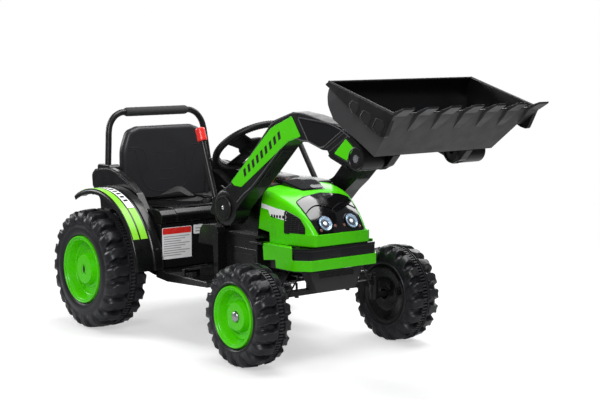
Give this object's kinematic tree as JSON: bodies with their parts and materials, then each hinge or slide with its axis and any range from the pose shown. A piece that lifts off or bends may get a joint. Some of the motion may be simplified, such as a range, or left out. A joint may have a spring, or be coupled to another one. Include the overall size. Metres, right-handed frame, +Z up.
{
  "type": "ride-on toy front loader",
  "caption": "Ride-on toy tractor with a front loader: cranked arms, tipping toothed bucket, steered front wheels, moulded seat with roll bar and hand levers.",
  "frame": {"origin": "on the floor, below the middle of the machine's length and width", "axes": "+X forward towards the bucket, +Y to the rider's left, +Z up"},
  "size_m": [1.35, 0.674, 0.706],
  "materials": {
    "black_plastic": "glossy black moulded polypropylene",
    "green_plastic": "glossy bright green moulded polypropylene",
    "dark_grey_plastic": "satin dark grey moulded polypropylene",
    "tyre_plastic": "satin black blow-moulded plastic",
    "matte_black_plastic": "fine-textured black plastic",
    "red_plastic": "glossy red plastic",
    "black_paint": "black powder-coated steel tube",
    "foam_rubber": "closed-cell foam sleeve",
    "webbing": "black woven webbing",
    "smoked_glass": "smoked clear plastic",
    "clear_glass": "clear plastic lens",
    "steel": "zinc-plated steel"
  },
  "bodies": {
    "chassis": {"seat_box": "black_plastic", "floor_pan": "black_plastic", "fender_right": "black_plastic", "fender_left": "black_plastic", "armrest_right": "black_plastic", "armrest_left": "black_plastic", "roll_bar": "black_paint", "foam_grip": "foam_rubber", "seat_back": "dark_grey_plastic", "seat_cushion": "dark_grey_plastic", "seat_belt": "webbing", "belt_buckle": "matte_black_plastic", "front_tower": "black_plastic", "side_consoles": "black_plastic", "dashboard": "black_plastic", "bonnet": "green_plastic", "bonnet_window": "smoked_glass", "headlight_mask": "black_plastic", "headlight_lenses": "clear_glass", "side_vents": "black_plastic", "front_frame": "black_plastic", "bumper": "green_plastic", "bumper_insert": "black_plastic", "skid_plate": "dark_grey_plastic", "front_axle_beam": "steel", "rear_axle": "steel", "rear_axle_washers": "steel", "drive_unit_right": "dark_grey_plastic", "drive_unit_left": "dark_grey_plastic", "battery": "matte_black_plastic", "motor_controller": "matte_black_plastic", "pivot_pins": "steel"},
    "rear_wheel_right": {"rear_tyre_right": "tyre_plastic", "rear_rim_right": "green_plastic"},
    "front_wheel_right": {"front_tyre_right": "tyre_plastic", "front_rim_right": "green_plastic"},
    "steering_knuckle_right": {"knuckle_right": "steel"},
    "rear_wheel_left": {"rear_tyre_left": "tyre_plastic", "rear_rim_left": "green_plastic"},
    "front_wheel_left": {"front_tyre_left": "tyre_plastic", "front_rim_left": "green_plastic"},
    "steering_knuckle_left": {"knuckle_left": "steel"},
    "tie_rod": {"tie_rod": "steel"},
    "steering": {"steering_wheel": "matte_black_plastic", "steering_column": "steel"},
    "horn": {"horn_button": "matte_black_plastic"},
    "loader_arms": {"loader_arm_right": "black_plastic", "loader_arm_left": "black_plastic", "arm_panels": "green_plastic", "pivot_caps": "black_plastic", "arm_shaft": "steel", "arm_lever": "black_paint", "arm_lever_knob": "red_plastic"},
    "bucket": {"bucket": "dark_grey_plastic", "bucket_pins": "steel"},
    "bucket_lever": {"bucket_lever": "black_paint", "bucket_lever_knob": "red_plastic"},
    "pedal": {"foot_pedal": "matte_black_plastic"},
    "start_button": {"start_button": "matte_black_plastic"},
    "direction_rocker": {"direction_rocker": "matte_black_plastic"}
  },
  "joints": [
    {"name": "rear_wheel_right_spin", "type": "hinge", "parent": "chassis", "child": "rear_wheel_right", "pos_m": [-0.51, 0, 0.165], "axis": [0, 1, 0], "continuous": true},
    {"name": "rear_wheel_left_spin", "type": "hinge", "parent": "chassis", "child": "rear_wheel_left", "pos_m": [-0.51, 0, 0.165], "axis": [0, 1, 0], "continuous": true},
    {"name": "steer_left", "type": "hinge", "parent": "chassis", "child": "steering_knuckle_left", "pos_m": [0.14, 0.168, 0.128], "axis": [0, 0, 1], "range_deg": [-22, 22]},
    {"name": "front_wheel_left_spin", "type": "hinge", "parent": "steering_knuckle_left", "child": "front_wheel_left", "pos_m": [0.14, 0, 0.128], "axis": [0, 1, 0], "continuous": true},
    {"name": "steer_right", "type": "hinge", "parent": "chassis", "child": "steering_knuckle_right", "pos_m": [0.14, -0.168, 0.128], "axis": [0, 0, 1], "range_deg": [-22, 22]},
    {"name": "front_wheel_right_spin", "type": "hinge", "parent": "steering_knuckle_right", "child": "front_wheel_right", "pos_m": [0.14, 0, 0.128], "axis": [0, 1, 0], "continuous": true},
    {"name": "tie_rod_slide", "type": "slide", "parent": "chassis", "child": "tie_rod", "axis": [0, 1, 0], "range_m": [-0.0175, 0.0175]},
    {"name": "steering_turn", "type": "hinge", "parent": "chassis", "child": "steering", "pos_m": [-0.165, 0, 0.51], "axis": [-0.6, 0, 0.8], "range_deg": [-34.5, 34.5]},
    {"name": "horn_press", "type": "slide", "parent": "steering", "child": "horn", "axis": [0.6, 0, -0.8], "range_m": [0, 0.002], "stiffness_N_per_m": 400, "springref_m": -0.001},
    {"name": "loader_arms_raise", "type": "hinge", "parent": "chassis", "child": "loader_arms", "pos_m": [-0.027, 0, 0.373], "axis": [0, -1, 0], "range_deg": [-50, 5]},
    {"name": "bucket_tilt", "type": "hinge", "parent": "loader_arms", "child": "bucket", "pos_m": [0.481, 0, 0.533], "axis": [0, 1, 0], "range_deg": [0, 80]},
    {"name": "bucket_lever_pull", "type": "hinge", "parent": "chassis", "child": "bucket_lever", "pos_m": [-0.119, -0.132, 0.29], "axis": [0, 1, 0], "range_deg": [0, 20]},
    {"name": "pedal_press", "type": "hinge", "parent": "chassis", "child": "pedal", "pos_m": [-0.188, -0.188, 0.19], "axis": [0, 1, 0], "range_deg": [0, 12], "stiffness_Nm_per_rad": 0.6, "springref_deg": -5.73},
    {"name": "start_button_press", "type": "slide", "parent": "chassis", "child": "start_button", "axis": [-0.1034, 0, -0.9946], "range_m": [0, 0.002], "stiffness_N_per_m": 300, "springref_m": -0.0005},
    {"name": "direction_rocker_tip", "type": "hinge", "parent": "chassis", "child": "direction_rocker", "pos_m": [-0.036, -0.044, 0.4335], "axis": [0, 1, 0], "range_deg": [-7, 7]}
  ],
  "couplings": [
    {"joint": "steer_right", "follows": "steer_left", "ratio": 1},
    {"joint": "tie_rod_slide", "follows": "steer_left", "m_per_rad": -0.04487},
    {"joint": "steering_turn", "follows": "steer_left", "ratio": 1.545},
    {"joint": "bucket_lever_pull", "follows": "bucket_tilt", "ratio": 0.25}
  ]
}
